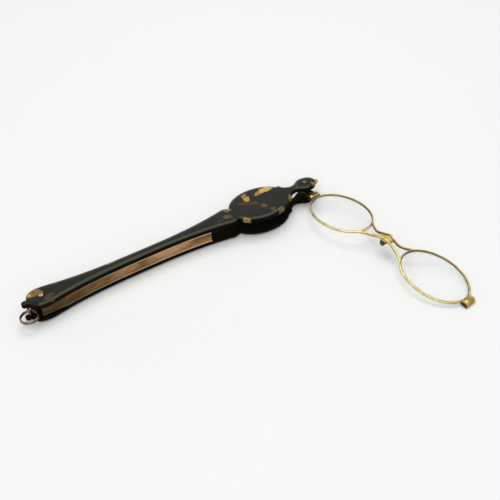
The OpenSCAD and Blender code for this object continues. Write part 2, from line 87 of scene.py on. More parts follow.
def table_mesh(name, size, material):
    """A square sheet that falls by slope as Y falls, with a soft hollow where the far lens swings in.

    The hollow runs from -0.165 to -0.035 in X and from -0.085 to -0.004 in Y. Its depth fades towards
    its edges by cosine steps of the distance to them.
    """
    gap, depth = 0.0001, 0.0029
    line = np.concatenate([[-size], np.linspace(-0.18, 0.06, 121), [size]])
    x, y = np.meshgrid(line, line)
    along = np.clip((x + 0.165) / 0.045, 0, 1) * np.clip((-0.035 - x) / 0.045, 0, 1)
    across = np.clip((-0.004 - y) / 0.018, 0, 1) * np.clip((y + 0.085) / 0.05, 0, 1)
    z = (y - handle_edge) * slope - gap - depth * smooth(along) * smooth(across)
    row = len(line)
    first = np.arange(row - 1)[:, None] * row + np.arange(row - 1)
    faces = np.stack([first, first + 1, first + row + 1, first + row], -1).reshape(-1, 4)
    mesh = bpy.data.meshes.new(name)
    mesh.from_pydata(np.stack([x, y, z], -1).reshape(-1, 3).tolist(), [], faces.tolist())
    mesh.polygons.foreach_set("use_smooth", np.ones(len(faces), bool))
    mesh.materials.append(material)
    made = bpy.data.objects.new(name, mesh)
    bpy.context.scene.collection.objects.link(made)
    return made


def new_material(name):
    """A material with its nodes on, and its tree and shader."""
    made = bpy.data.materials.new(name)
    made.use_nodes = True
    return made, made.node_tree, made.node_tree.nodes["Principled BSDF"]


def wired(tree, kind, **settings):
    """A new node; the settings name its properties, or its inputs where it has none of that name."""
    made = tree.nodes.new(kind)
    for key, value in settings.items():
        if hasattr(made, key):
            setattr(made, key, value)
        elif isinstance(value, bpy.types.NodeSocket):
            tree.links.new(value, made.inputs[key.replace("_", " ")])
        else:
            made.inputs[key.replace("_", " ")].default_value = value
    return made


def calculated(tree, operation, *values):
    """The result of a maths node whose inputs are linked to the values in turn."""
    made = wired(tree, "ShaderNodeMath", operation=operation)
    for socket, value in zip(made.inputs, values):
        tree.links.new(value, socket)
    return made.outputs[0]


table_top, tree, shader = new_material("table")
shader.inputs["Base Color"].default_value = linear(247, 248, 247)
shader.inputs["Roughness"].default_value = 0.75
shader.inputs["Specular IOR Level"].default_value = 0.2
table_mesh("table", 6.0, table_top)

room = bpy.context.scene.world or bpy.data.worlds.new("room")
bpy.context.scene.world = room
room.use_nodes = True
tree = room.node_tree
tree.nodes.clear()
seen = wired(tree, "ShaderNodeBackground", Color=linear(248, 248, 248), Strength=1.0)
fill = wired(tree, "ShaderNodeBackground", Color=(1.0, 1.0, 1.0, 1.0), Strength=0.48)
ray = tree.nodes.new("ShaderNodeLightPath").outputs
straight = calculated(tree, "MAXIMUM", ray["Is Camera Ray"], ray["Is Transmission Ray"])
looked_at = calculated(tree, "MAXIMUM", straight, ray["Is Glossy Ray"])
mix = wired(tree, "ShaderNodeMixShader", Fac=looked_at)
tree.links.new(fill.outputs[0], mix.inputs[1])
tree.links.new(seen.outputs[0], mix.inputs[2])
wired(tree, "ShaderNodeOutputWorld", Surface=mix.outputs[0])


def soft_light(name, place, size, power):
    """A square area light at place that faces the middle of the object."""
    middle = np.array([-0.06, -0.03, 0.0])
    lamp = bpy.data.lights.new(name, "AREA")
    lamp.shape = "SQUARE"
    lamp.size = size
    lamp.energy = power
    hung = bpy.data.objects.new(name, lamp)
    bpy.context.scene.collection.objects.link(hung)
    away = np.array(place) - middle
    away = away / np.linalg.norm(away)
    across = np.cross([0.0, 0.0, 1.0], away)
    across = across / np.linalg.norm(across)
    set_up = np.eye(4)
    set_up[:3, 0], set_up[:3, 1], set_up[:3, 2] = across, np.cross(away, across), away
    set_up[:3, 3] = place
    hung.matrix_world = Matrix(set_up.tolist())


soft_light("overhead", (0.2, 0.34, 1.12), 0.75, 5.2)
soft_light("front", (-0.5, -0.72, 0.95), 1.2, 6.0)

# --- Front plate
# A plate of blackish tortoiseshell with honey patches, sawn to the handle's outline: beak, tail,
# grip, oval, ears, neck and head. It is bevelled all round and polished; its sawn walls stay dull.
MM = 0.001
BEAK_X, BEAK_R, BEAK_END = -158.35, 1.35, -154
TAIL_X, TAIL_ROUND = -144, 12.9
WAIST_X, WAIST_HALF = -92, 2.5
SHOULDER_X, SHOULDER_ROUND = -48.6, 6
OVAL_X, OVAL_A, OVAL_B = -29.2, 16.9, 12.89
EAR_X, EAR_Y, EAR_R = -13.65, 5.15, 1.3
NECK_X, NECK_HALF = -7.4, 2.05
HEAD_X, HEAD_NOSE, HEAD_HALF = -0.48, 6.48, 4.8
BEVEL_WIDE, BEVEL_HIGH = 1.6, 0.5
SLOT_LOW, SLOT_HIGH = 2.0, 8.0
FRONT_THICK, BACK_THICK = 2.7, 2.0


def rounded(u, p):
    """Falls from 1 to 0 as u goes from 0 to 1 along a superellipse of power p."""
    return np.clip(1 - np.clip(u, 0, None) ** p, 0, None) ** (1 / p)


def flank(x):
    """Half width of the grip: a power of the distance from its narrow waist, on each side."""
    up = 3.85 * np.clip((x - WAIST_X) / (SHOULDER_X - WAIST_X), 0, None) ** 2.4
    down = 3.25 * np.clip((WAIST_X - x) / (WAIST_X - TAIL_X), 0, None) ** 3.2
    return WAIST_HALF + up + down


def outline(x, d):
    """The edge of a plate, drawn in by d: the widest of grip, oval, neck, ears and beak, then the head."""
    beak_r = BEAK_R - min(d, 0.65)
    nose = HEAD_NOSE - d
    x = np.where(x > HEAD_X, HEAD_X + (x - HEAD_X) * nose / HEAD_NOSE, x)
    x = np.where(x < BEAK_X, BEAK_X + (x - BEAK_X) * beak_r / BEAK_R, x)
    shoulder = (flank(SHOULDER_X) - d) * rounded((x - SHOULDER_X) / (SHOULDER_ROUND - d), 2)
    tail = (flank(x) - d) * rounded((TAIL_X - x) / (TAIL_ROUND - d), 2.2)
    grip = np.where(x > SHOULDER_X, shoulder, np.where(x < TAIL_X, tail, flank(x) - d))
    oval = (OVAL_B - d) * rounded(np.abs(x - OVAL_X) / (OVAL_A - d), 2)
    neck = (NECK_HALF - d + 4.3 * np.clip((NECK_X - x) / (NECK_X - EAR_X), 0, 1) ** 2
            + 0.08 * np.clip(EAR_X - x, 0, None) ** 2)
    neck = np.where(x < EAR_X - 3, 0, neck)
    ear = EAR_Y + np.sqrt(np.clip(EAR_R ** 2 - (x - EAR_X) ** 2, 0, None))
    ear = np.where((np.abs(x - EAR_X) > EAR_R) | (d > 0), 0, ear)
    beak = beak_r * rounded((BEAK_X - x) / beak_r, 2) + 0.08 * np.clip(x - BEAK_X, 0, None) ** 2
    beak = np.where(x > BEAK_END, 0, beak)
    flare = smooth((x - NECK_X) / (HEAD_X - NECK_X))
    head = np.where(x < HEAD_X, NECK_HALF - d + (HEAD_HALF - NECK_HALF) * flare,
                    (HEAD_HALF - d) * rounded((x - HEAD_X) / nose, 2.3))
    body = np.maximum.reduce([grip, oval, neck, ear, beak])
    return np.column_stack([x, np.maximum(np.where(x > NECK_X, head, body), 0.2)])


def put_mesh(name, points, faces, material, angle, dirt_and_shade=None):
    """A mesh object from points in mm, smooth except where its faces meet at more than angle.

    The last argument is the share of dirt and painted shade at each point, from 0 to 1, which its
    material reads. A mesh whose faces point inwards, and so has a negative volume, is turned inside out.
    """
    mesh = bpy.data.meshes.new(name)
    mesh.from_pydata((np.asarray(points).reshape(-1, 3) * MM).tolist(), [], faces)
    mesh.materials.append(material)
    if dirt_and_shade is not None:
        mark = mesh.attributes.new("dirt_and_shade", "FLOAT", "POINT")
        mark.data.foreach_set("value", np.ravel(dirt_and_shade).astype(np.float32))
    whole = bmesh.new()
    whole.from_mesh(mesh)
    if whole.calc_volume(signed=True) < 0:
        mesh.flip_normals()
    whole.free()
    mesh.polygons.foreach_set("use_smooth", np.ones(len(mesh.polygons), bool))
    mesh.set_sharp_from_angle(angle=np.radians(angle))
    mesh.update()
    made = bpy.data.objects.new(name, mesh)
    bpy.context.scene.collection.objects.link(made)
    return made


def loop_faces(rows, columns):
    """Quads over a grid whose rows are closed loops, with a face over the first and the last loop."""
    i, j = np.meshgrid(np.arange(rows - 1), np.arange(columns), indexing="ij")
    a, b = i * columns + j, i * columns + (j + 1) % columns
    quads = np.stack([a, b, b + columns, a + columns], -1).reshape(-1, 4)
    first, last = np.arange(columns)[::-1], np.arange((rows - 1) * columns, rows * columns)
    return quads.tolist() + [first.tolist(), last.tolist()]


def noise(tree, vector, scale, detail, roughness=0.5):
    """A noise texture's factor at the given scale."""
    made = wired(tree, "ShaderNodeTexNoise", Vector=vector, Scale=scale, Detail=detail, Roughness=roughness)
    return made.outputs["Fac"]


def ranged(tree, value, low, high, to_low, to_high):
    """The value mapped from low..high to to_low..to_high and held at the ends."""
    made = wired(tree, "ShaderNodeMapRange", Value=value,
                 From_Min=low, From_Max=high, To_Min=to_low, To_Max=to_high)
    return made.outputs["Result"]


def blended(tree, factor, first, second):
    """Two colours mixed by a factor; each is a socket or four numbers."""
    made = wired(tree, "ShaderNodeMix", data_type="RGBA")
    for socket, value in ((made.inputs[0], factor), (made.inputs[6], first), (made.inputs[7], second)):
        if isinstance(value, bpy.types.NodeSocket):
            tree.links.new(value, socket)
        else:
            socket.default_value = value
    return made.outputs[2]


def shell_material(name, patches, polished_from, polished_to, dark, warm, through=True):
    """Blackish shell with ragged honey patches, polished on its top and bevel and dull on its walls.

    Each patch is an ellipse in plan: x, y, half length, half width, turn, strength and tone. Its edge is
    shifted by noise. The polish goes from 0 to 1 as Z goes from polished_from to polished_to. Patches
    that don't go through are seen on the polished side only.
    """
    made, tree, shader = new_material(name)
    where = tree.nodes.new("ShaderNodeTexCoord").outputs["Object"]
    ragged = wired(tree, "ShaderNodeTexNoise", Vector=where, Scale=290.0, Detail=6.0, Roughness=0.68)
    centred = wired(tree, "ShaderNodeVectorMath", operation="SUBTRACT")
    tree.links.new(ragged.outputs["Color"], centred.inputs[0])
    centred.inputs[1].default_value = (0.5, 0.5, 0.5)
    shift = wired(tree, "ShaderNodeVectorMath", operation="MULTIPLY_ADD")
    tree.links.new(centred.outputs[0], shift.inputs[0])
    shift.inputs[1].default_value = (0.0058, 0.0046, 0.0)
    tree.links.new(where, shift.inputs[2])
    height = wired(tree, "ShaderNodeSeparateXYZ", Vector=where).outputs["Z"]
    polish = ranged(tree, height, polished_from * MM, polished_to * MM, 0, 1)
    colour = blended(tree, ranged(tree, noise(tree, where, 70.0, 5.0, 0.6), 0.45, 0.75, 0, 1), dark, warm)
    for x, y, long, wide, turn, strength, tone in patches:
        place = wired(tree, "ShaderNodeMapping", vector_type="TEXTURE", Vector=shift.outputs[0],
                      Location=(x * MM, y * MM, 0.0), Rotation=(0.0, 0.0, np.radians(turn)),
                      Scale=(long * MM, wide * MM, 1.0))
        reach = wired(tree, "ShaderNodeVectorMath", operation="LENGTH")
        tree.links.new(place.outputs[0], reach.inputs[0])
        cover = ranged(tree, reach.outputs["Value"], 1.06, 0.88, 0, strength)
        if not through:
            cover = calculated(tree, "MULTIPLY", cover, polish)
        colour = blended(tree, cover, colour, linear(*tone))
    mottle = ranged(tree, noise(tree, where, 520.0, 4.0, 0.6), 0.3, 0.7, 0.68, 1.22)
    shaded = wired(tree, "ShaderNodeVectorMath", operation="SCALE", Scale=mottle)
    tree.links.new(colour, shaded.inputs[0])
    tree.links.new(shaded.outputs[0], shader.inputs["Base Color"])
    rub = ranged(tree, noise(tree, where, 150.0, 6.0), 0.35, 0.7, 0.10, 0.19)
    dull = wired(tree, "ShaderNodeMix", data_type="FLOAT", A=0.55)
    tree.links.new(polish, dull.inputs[0])
    tree.links.new(rub, dull.inputs[3])
    tree.links.new(dull.outputs[0], shader.inputs["Roughness"])
    tree.links.new(ranged(tree, polish, 0, 1, 0.02, 0.18), shader.inputs["Specular IOR Level"])
    shader.inputs["Specular Tint"].default_value = (0.92, 1.0, 0.72, 1.0)
    shader.inputs["IOR"].default_value = 1.54
    fine = noise(tree, where, 700.0, 4.0)
    grain = wired(tree, "ShaderNodeBump", Height=fine, Strength=0.06, Distance=0.0002)
    tree.links.new(grain.outputs["Normal"], shader.inputs["Normal"])
    return made


brown, wall_amber = (84, 66, 46), (92, 66, 34)
front_patches = [
    (-19.6, 7.4, 3.0, 1.9, -10, 1.0, (214, 182, 88)), (-25.2, 6.6, 2.8, 1.3, 5, 1.0, (160, 124, 56)),
    (-22.0, 7.4, 2.4, 1.7, 0, 1.0, (204, 170, 80)), (-33.3, 5.9, 2.3, 1.9, 60, 1.0, (190, 148, 78)),
    (-32.9, 9.4, 1.9, 1.1, 10, 0.95, (164, 122, 58)), (-34.6, 2.2, 5.4, 1.5, -32, 0.6, (76, 60, 42)),
    (-29.0, -4.4, 1.9, 1.9, 10, 0.9, (96, 74, 50)), (-30.6, -0.4, 2.2, 0.8, -60, 0.6, brown),
    (-22.2, -13.0, 3.5, 1.1, 17, 0.95, (128, 108, 62)), (-23.0, -11.6, 2.4, 0.9, 25, 0.8, (112, 92, 54)),
    (-26.3, -10.4, 2.2, 0.5, 80, 0.7, (104, 86, 56)), (-27.3, -9.4, 1.9, 0.4, 60, 0.7, (104, 86, 56)),
    (-42.6, -9.0, 2.1, 1.9, -35, 0.95, (146, 124, 80)), (-13.2, -6.3, 2.4, 1.5, 65, 0.95, (124, 96, 50)),
    (-5.9, 1.2, 1.6, 0.35, 100, 0.7, (120, 92, 62)), (-5.0, -0.4, 1.6, 0.35, 100, 0.7, (120, 92, 62)),
    (3.4, -4.0, 2.6, 0.8, 100, 0.9, (160, 110, 56)), (-45.6, 3.8, 1.4, 0.9, -40, 1.0, (158, 120, 76)),
    (-47.4, 4.6, 2.4, 1.1, -70, 0.85, (118, 88, 56)), (-49.4, -1.0, 2.2, 1.5, -25, 0.85, (100, 76, 50)),
    (-54.4, -1.9, 1.8, 0.6, -10, 0.8, (84, 64, 42)), (-65.0, 1.6, 0.8, 0.5, 0, 0.7, brown),
    (-74.9, -0.6, 1.2, 0.7, 0, 0.7, brown), (-113.3, 2.3, 3.0, 1.0, 0, 0.9, (150, 118, 72)),
    (-152.6, 3.0, 4.2, 2.9, -20, 0.95, (126, 94, 58)), (-154.6, 3.2, 1.9, 0.9, -70, 0.9, (206, 160, 84)),
    (-146.9, -3.2, 3.0, 1.5, 20, 0.7, (82, 66, 50)), (-141.6, 3.6, 2.0, 0.9, -10, 0.4, brown),
    (-138.5, -6.2, 2.8, 0.6, 6, 0.9, wall_amber), (-146.8, -6.9, 1.5, 0.8, 0, 0.9, wall_amber)]
black, dark_red = (0.0042, 0.0038, 0.0026, 1.0), (0.012, 0.0078, 0.0042, 1.0)
front_shell = shell_material("front_shell", front_patches, 10.1, 10.3, black, dark_red)


def plate(name, material, lift, over, thick):
    """One plate: at each station a closed loop runs along the flat side, up the wall and over the bevel.

    Every point of the loop lies at a share between the outline and the outline drawn in by the bevel.
    The plate starts at the height lift, and over is 1 where its bevel is above and -1 where it is below.
    The stations stand closer where the outline turns: at the beak, the shoulder, the ears and the head.
    """
    beak = BEAK_X - BEAK_R * np.cos(np.linspace(0, np.pi / 2, 14))
    stretches = [(BEAK_X, -151, 34), (-151, -50, 190), (-50, -42, 44), (-42, -16, 80), (-16, -11.6, 44),
                 (-11.6, HEAD_X, 40)]
    head = HEAD_X + HEAD_NOSE * np.sin(np.linspace(0, np.pi / 2, 34))
    x = np.unique(np.concatenate([beak, *[np.linspace(*stretch) for stretch in stretches], head]))
    wide, narrow = outline(x, 0), outline(x, BEVEL_WIDE)
    wall = thick - BEVEL_HIGH
    shares = [(0.08, 0.0), (0.02, 0.03), (0.0, 0.12), (0.0, 0.8), (0.0, wall - 0.08), (0.03, wall + 0.02)]
    shares += [(t, wall + BEVEL_HIGH * t + 0.035 * np.sin(np.pi * t)) for t in np.linspace(0.14, 0.9, 6)]
    shares += [(0.95, thick - 0.01), (1.0, thick)]
    half = [np.column_stack([(wide + (narrow - wide) * t), np.full(len(x), z)]) for t, z in shares]
    flat, crown = half[0], half[-1]
    half = [flat * [1, 0, 1], flat * [1, 0.5, 1]] + half + [crown * [1, 0.5, 1]]
    other = [side * [1, -1, 1] for side in half[:0:-1]]
    grid = np.stack(half + [crown * [1, 0, 1]] + other, 1)
    grid[..., 2] = lift + over * grid[..., 2]
    made = put_mesh(name, grid, loop_faces(len(x), grid.shape[1]), material, 30.0)
    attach(made, "handle")
    return made


upper = plate("front_plate_shell", front_shell, SLOT_HIGH, 1, FRONT_THICK)
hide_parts("front_plate")

# --- Back plate
# The second plate, thinner and of the same outline, with its bevel below and its flat inner face
# towards the slot. That face is only scraped, so it is reddish brown and matt.
honey, amber = (150, 112, 50), (128, 92, 46)
back_patches = [
    (-36, 6, 3.4, 2.2, 30, 0.9, honey), (-24, -6, 4.2, 2.0, -40, 0.9, amber),
    (-30, 0.5, 2.2, 1.4, 70, 0.6, brown), (-17, 5, 2.4, 1.4, 10, 0.9, honey),
    (-46, -2, 2.8, 1.2, 15, 0.8, amber), (-1.5, -2.4, 2.2, 1.2, 20, 0.8, amber),
    (-60, 1.6, 3.0, 1.0, 5, 0.7, brown), (-84, -0.8, 3.6, 0.9, -4, 0.8, amber),
    (-104, 1.1, 2.4, 0.8, 8, 0.7, brown), (-127, -1.2, 4.4, 1.2, 6, 0.9, amber),
    (-146, 2.8, 3.2, 1.6, -30, 0.9, honey), (-152.5, -2.6, 2.2, 1.2, 30, 0.7, brown)]
scraped = (0.014, 0.0072, 0.0042, 1.0)
back_shell = shell_material("back_shell", back_patches, 0.6, 0.4, black, scraped, through=False)
lower = plate("back_plate_shell", back_shell, SLOT_LOW, -1, BACK_THICK)
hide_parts("back_plate")

# --- Core
# A dark reddish spacer of scraped shell between the plates along the grip, held by the tail rivet.
# Its curved end shows as the back of the slot that the folded lenses go into. It has no polish: that
# would start above the whole handle.
core_patches = [(-61, 0, 2.0, 3.0, 0, 0.5, (84, 50, 34))]
polish_low, polish_high = 20.0, 21.0
core_shell = shell_material("core_shell", core_patches, polish_low, polish_high, black, scraped)
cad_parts["handle_core"].material_slots[0].material = core_shell

# --- Bands
# Two strips of gilt brass let in along the flanks, with a bright round bead along each edge and a
# sunk middle whose gilding is rubbed and browned. They are cut to an arc at the slot, where the
# folded spectacles swing in. Towards the tail their colour is darkened as painted shade.
BAND_HIGH = SLOT_HIGH - SLOT_LOW
BAND_START, BAND_END = -58.5, -151.6
STOW_R = 60.9


def metal(name, tone, grime, roughness, spread=240.0, brush=(1.0, 1.0, 1.0), dirt=(70, 52, 34)):
    """Gilt metal of uneven tone, with fine brushing stretched by brush, darkened where its mesh marks dirt
    and painted shade.
    """
    made, tree, shader = new_material(name)
    where = tree.nodes.new("ShaderNodeTexCoord").outputs["Object"]
    stain = noise(tree, where, spread, 5.0, 0.6)
    shader.inputs["Metallic"].default_value = 1.0
    colour = blended(tree, ranged(tree, stain, 0.32, 0.66, 0, 1), linear(*grime), linear(*tone))
    # The mesh's mark darkens the colour to the last tone: dirt, and painted shade.
    dirt_and_shade = wired(tree, "ShaderNodeAttribute", attribute_name="dirt_and_shade").outputs["Fac"]
    colour = blended(tree, dirt_and_shade, colour, linear(*dirt))
    stretched = wired(tree, "ShaderNodeMapping", Vector=where, Scale=brush)
    fine = noise(tree, stretched.outputs[0], 1700.0, 4.0, 0.6)
    dullness = ranged(tree, fine, 0.3, 0.7, roughness + 0.08, roughness - 0.05)
    tree.links.new(dullness, shader.inputs["Roughness"])
    tree.links.new(colour, shader.inputs["Base Color"])
    bump = wired(tree, "ShaderNodeBump", Height=fine, Strength=0.3, Distance=0.00002)
    tree.links.new(bump.outputs["Normal"], shader.inputs["Normal"])
    return made


def recoloured(material, change):
    """Puts a new colour on a metal: change gets its tree, its place split into X, Y and Z, and its colour."""
    tree = material.node_tree
    shader = tree.nodes["Principled BSDF"]
    where = tree.nodes.new("ShaderNodeTexCoord").outputs["Object"]
    apart = wired(tree, "ShaderNodeSeparateXYZ", Vector=where).outputs
    colour = change(tree, where, apart, shader.inputs["Base Color"].links[0].from_socket)
    tree.links.new(colour, shader.inputs["Base Color"])


def patina_and_tail_shade(tree, where, apart, bead_tone):
    """Brown patina in long stains between the beads, and painted shade that darkens the band towards the
    tail.
    """
    from_middle = calculated(tree, "ABSOLUTE", ranged(tree, apart["Z"], SLOT_LOW * MM, SLOT_HIGH * MM, -1, 1))
    on_bead = ranged(tree, from_middle, 0.72, 0.86, 0, 1)
    stretched = wired(tree, "ShaderNodeMapping", Vector=where, Scale=(0.35, 1.0, 1.0))
    stain = ranged(tree, noise(tree, stretched.outputs[0], 190.0, 5.0, 0.62), 0.38, 0.66, 0, 1)
    patina = blended(tree, stain, linear(104, 76, 48), linear(180, 144, 100))
    # Painted shade: the band darkens towards the tail.
    tail_shade = ranged(tree, apart["X"], -0.09, -0.145, 0, 0.8)
    return blended(tree, tail_shade, blended(tree, on_bead, patina, bead_tone), linear(62, 47, 31))


rubbed_gilt_tail_shade = metal("rubbed_gilt_tail_shade", (226, 200, 154), (190, 154, 106), 0.34, 160.0, (0.12, 1.0, 1.0))
recoloured(rubbed_gilt_tail_shade, patina_and_tail_shade)


def band(name, side):
    """A strip of stations along the flank: two half-round beads, a hollow between, and a flat back.

    Its outermost line stands margin inside the plates' edge, but no more than widest from the middle.
    Inset is each line's distance from there. Towards the tail the strip turns in over the length tip.
    """
    margin, widest, tip = 0.25, 4.6, 0.8
    bead_r, bead_inset, hollow_inset, depth = 0.4, 0.26, 0.24, 0.7
    x = np.concatenate([np.linspace(BAND_START, -64, 40), np.linspace(-64.3, BAND_END, 260),
                        BAND_END - tip * np.sin(np.linspace(0.05, np.pi / 2, 10))])
    out = np.minimum(flank(x) - margin, widest) - 0.5 * np.clip((BAND_END - x) / tip, 0, 1) ** 3
    up = np.linspace(0, np.pi, 9)
    bead, bead_in = bead_r * (1 - np.cos(up)), bead_inset * (1 - np.sin(up))
    hollow = np.linspace(0, 1, 11)
    sunk = hollow_inset + 0.05 * np.sin(np.pi * hollow)
    inset = np.concatenate([bead_in, sunk, bead_in[::-1], [depth, depth]])
    height = np.concatenate([bead, 0.95 + 4.1 * hollow, BAND_HIGH - bead[::-1], [BAND_HIGH, 0]])
    grid = np.stack(np.broadcast_arrays(x[:, None], out[:, None] - inset, SLOT_LOW + height), -1)
    grid[..., 0] = np.minimum(grid[..., 0], -np.sqrt(STOW_R ** 2 - grid[..., 1] ** 2))
    grid[..., 1] *= side
    made = put_mesh(name, grid, loop_faces(len(x), len(inset)), rubbed_gilt_tail_shade, 50.0)
    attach(made, "handle")
    return made


for side, node in ((-1, "near_band"), (1, "far_band")):
    strip = band(node + "_strip", side)
    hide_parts(node)

# --- Rivets
# Two gilt rivets right through the handle. Each has a low hammered dome on the front plate and a
# peened foot let in flush below. The head rivet also carries the spectacles' tang.
TAIL_RIVET_X = -150.0
HANDLE_TOP = SLOT_HIGH + FRONT_THICK
head_gilt = metal("head_gilt", (124, 110, 84), (72, 62, 46), 0.42, 700.0, dirt=(22, 18, 14))
tail_gilt = metal("tail_gilt", (190, 168, 130), (124, 102, 70), 0.32, 700.0, dirt=(24, 18, 13))


def turned(profile, sides):
    """Rings of points about the Z axis, from radii and heights that start and end close to it."""
    around = np.linspace(0, 2 * np.pi, sides, endpoint=False)
    return np.stack([profile[:, :1] * np.cos(around), profile[:, :1] * np.sin(around),
                     np.repeat(profile[:, 1:], sides, 1)], -1)


swell = np.linspace(np.pi / 2 - 0.02, 0.02, 12)
dome = np.stack([1.63 * np.sin(swell), HANDLE_TOP + 0.33 * np.cos(swell)], -1)
shank = [(0.02, 0.01), (1.5, 0.01), (1.6, 0.06), (0.9, 0.6),
         (0.9, HANDLE_TOP - 0.02), (1.6, HANDLE_TOP - 0.02)]
profile = np.concatenate([shank, dome])
# Painted shade: a dark ring round the dome's edge, and round the foot below.
dirt_and_shade = np.repeat(np.clip((profile[:, 0] - 1.05) / 0.15, 0, 1), 48)
for node, x, material in (("head_rivet", 0.0, head_gilt), ("tail_rivet", TAIL_RIVET_X, tail_gilt)):
    rows = turned(profile, 48) + [x, 0, 0]
    rivet = put_mesh(node + "_turned", rows, loop_faces(len(profile), 48), material, 40.0, dirt_and_shade)
    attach(rivet, "handle")
    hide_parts(node)

# --- Eye
# A round eye of gilt wire, bent across the end of its own shank, which is let into the core
# behind the tail rivet. The ring hangs through it.
EYE_X, EYE_Y, EYE_Z, EYE_R = -157.4, -0.2, 5.0, 1.75
rosy_gilt = metal("rosy_gilt", (146, 122, 96), (88, 68, 52), 0.22, 500.0)


def wire(name, path, radius, material):
    """A round wire along a path: each ring of points lies square to the path's direction.

    The rings are counted from a line square to the path and to aside, a direction that no path takes.
    """
    sides, aside = 16, [0.31, 0.52, 0.8]
    ahead = np.gradient(path, axis=0)
    ahead /= np.linalg.norm(ahead, axis=1, keepdims=True)
    first = np.cross(ahead, aside)
    first /= np.linalg.norm(first, axis=1, keepdims=True)
    second = np.cross(ahead, first)
    a = np.linspace(0, 2 * np.pi, sides, endpoint=False)[None, :, None]
    grid = path[:, None] + radius * (first[:, None] * np.cos(a) + second[:, None] * np.sin(a))
    return put_mesh(name, grid, loop_faces(len(path), sides), material, 50.0)


reach = np.column_stack([np.linspace(-150.7, EYE_X + 0.5, 24), np.full(24, 1.55), np.full(24, EYE_Z)])
turn = np.linspace(0.2, np.pi / 2 - 0.1, 8)
bend = np.column_stack([EYE_X + 0.5 * (1 - np.sin(turn)), np.full(8, 1.52), EYE_Z + 0.5 * (1 - np.cos(turn))])
turn = np.linspace(0.3, 2 * np.pi - 0.02, 80)
loop = np.column_stack([np.full(80, EYE_X), EYE_Y + EYE_R * np.cos(turn), EYE_Z + EYE_R * np.sin(turn)])
eye = wire("ring_eye_wire", np.concatenate([reach, bend, loop]), 0.44, rosy_gilt)
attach(eye, "handle")
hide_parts("ring_eye")

# --- Split ring
# A ring of two turns of rosy gilt wire pressed flat together, with its two ends cut square, as
# key rings are. It lies level, and swings in the eye.
RING_X, RING_Y, RING_Z, RING_R = -158.6, -4.323, 4.85, 4.15
turn = np.linspace(0, 3.96 * np.pi, 260)
height = RING_Z + 0.4 * (2 * smooth((turn - 1.7 * np.pi) / (0.56 * np.pi)) - 1)
turn = turn + 0.2
coil = np.column_stack([RING_X + RING_R * np.cos(turn), RING_Y + RING_R * np.sin(turn), height])
ring = wire("split_ring_wire", coil, 0.39, rosy_gilt)
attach(ring, "ring")
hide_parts("split_ring")

# --- Tang and thumb knob
# A gilt hub that turns on the head rivet, with an arm to the near lens's closing block and a lever
# that ends in a turned knob, by which a thumb swings the spectacles out.
block_gilt = metal("block_gilt", (204, 178, 110), (150, 122, 66), 0.24, 420.0, dirt=(46, 32, 14))
old_gilt = metal("old_gilt", (104, 82, 54), (60, 46, 32), 0.4, 420.0)


def softened(node, body, width, material):
    """A copy of a CAD piece with its flat faces made whole and its edges rounded by width in mm."""
    sharp = np.radians(35)
    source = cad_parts[node]
    work = bmesh.new()
    work.from_mesh(source.data)
    work.transform(source.matrix_world)
    bmesh.ops.remove_doubles(work, verts=work.verts, dist=2e-6)
    bmesh.ops.dissolve_limit(work, angle_limit=0.02, verts=work.verts, edges=work.edges)
    bmesh.ops.recalc_face_normals(work, faces=work.faces)
    mesh = bpy.data.meshes.new(node + "_soft")
    work.to_mesh(mesh)
    work.free()
    mesh.materials.clear()
    mesh.materials.append(material)
    mesh.polygons.foreach_set("use_smooth", np.ones(len(mesh.polygons), bool))
    mesh.set_sharp_from_angle(angle=sharp)
    made = bpy.data.objects.new(node + "_soft", mesh)
    bpy.context.scene.collection.objects.link(made)
    bevel = made.modifiers.new("edges", "BEVEL")
    bevel.width = width * MM
    bevel.segments = 2
    bevel.limit_method = "ANGLE"
    bevel.angle_limit = sharp
    bevel.harden_normals = True
    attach(made, body)
    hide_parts(node)


softened("tang", "near_eye", 0.18, old_gilt)
softened("thumb_knob", "near_eye", 0.2, block_gilt)

# --- Rims
# Two oval rims bent from half-round gilt wire with a groove inside for the lens. Each is cut at its
# outer end, inside the closing block, so that the lens can be changed.
RIM_A, RIM_B, RIM_HALF = 18.5, 12.95, 0.55
LENS_X, LENS_Z = 28.4, 5.95
PIN_X, PIN_Z = 59.2, 5.0
LINE_Y = -1.3
OPEN, DROOP = np.radians(-81.8), np.radians(9.3)
bright_gilt = metal("bright_gilt", (220, 199, 138), (172, 148, 92), 0.2, 300.0, dirt=(66, 47, 24))


def placed(points, side):
    """From a lens's own frame to the open spectacles: the far lens is mirrored and droops at the pin."""
    p = np.array(points, float)
    if side == "near":
        p = p + [LENS_X, 0, LENS_Z]
    else:
        x, z = PIN_X - LENS_X - p[..., 0], p[..., 2] + LENS_Z - PIN_Z
        p = np.stack([PIN_X + x * np.cos(DROOP) + z * np.sin(DROOP), p[..., 1],
                      PIN_Z - x * np.sin(DROOP) + z * np.cos(DROOP)], -1)
    x, y = p[..., 0], p[..., 1] + LINE_Y
    return np.stack([x * np.cos(OPEN) - y * np.sin(OPEN), x * np.sin(OPEN) + y * np.cos(OPEN), p[..., 2]], -1)


def squared(a, p):
    """The cosine and the sine of a, each raised in size to p, which squares a circle up."""
    return [np.sign(part) * np.abs(part) ** p for part in (np.cos(a), np.sin(a))]


def rim_point(turn, d):
    """A point at the distance d outside the ellipse that is the middle line of the rim."""
    across = np.stack([RIM_B * np.cos(turn), RIM_A * np.sin(turn)], -1)
    across /= np.linalg.norm(across, axis=-1, keepdims=True)
    return np.stack([RIM_A * np.cos(turn), RIM_B * np.sin(turn)], -1) + d[..., None] * across


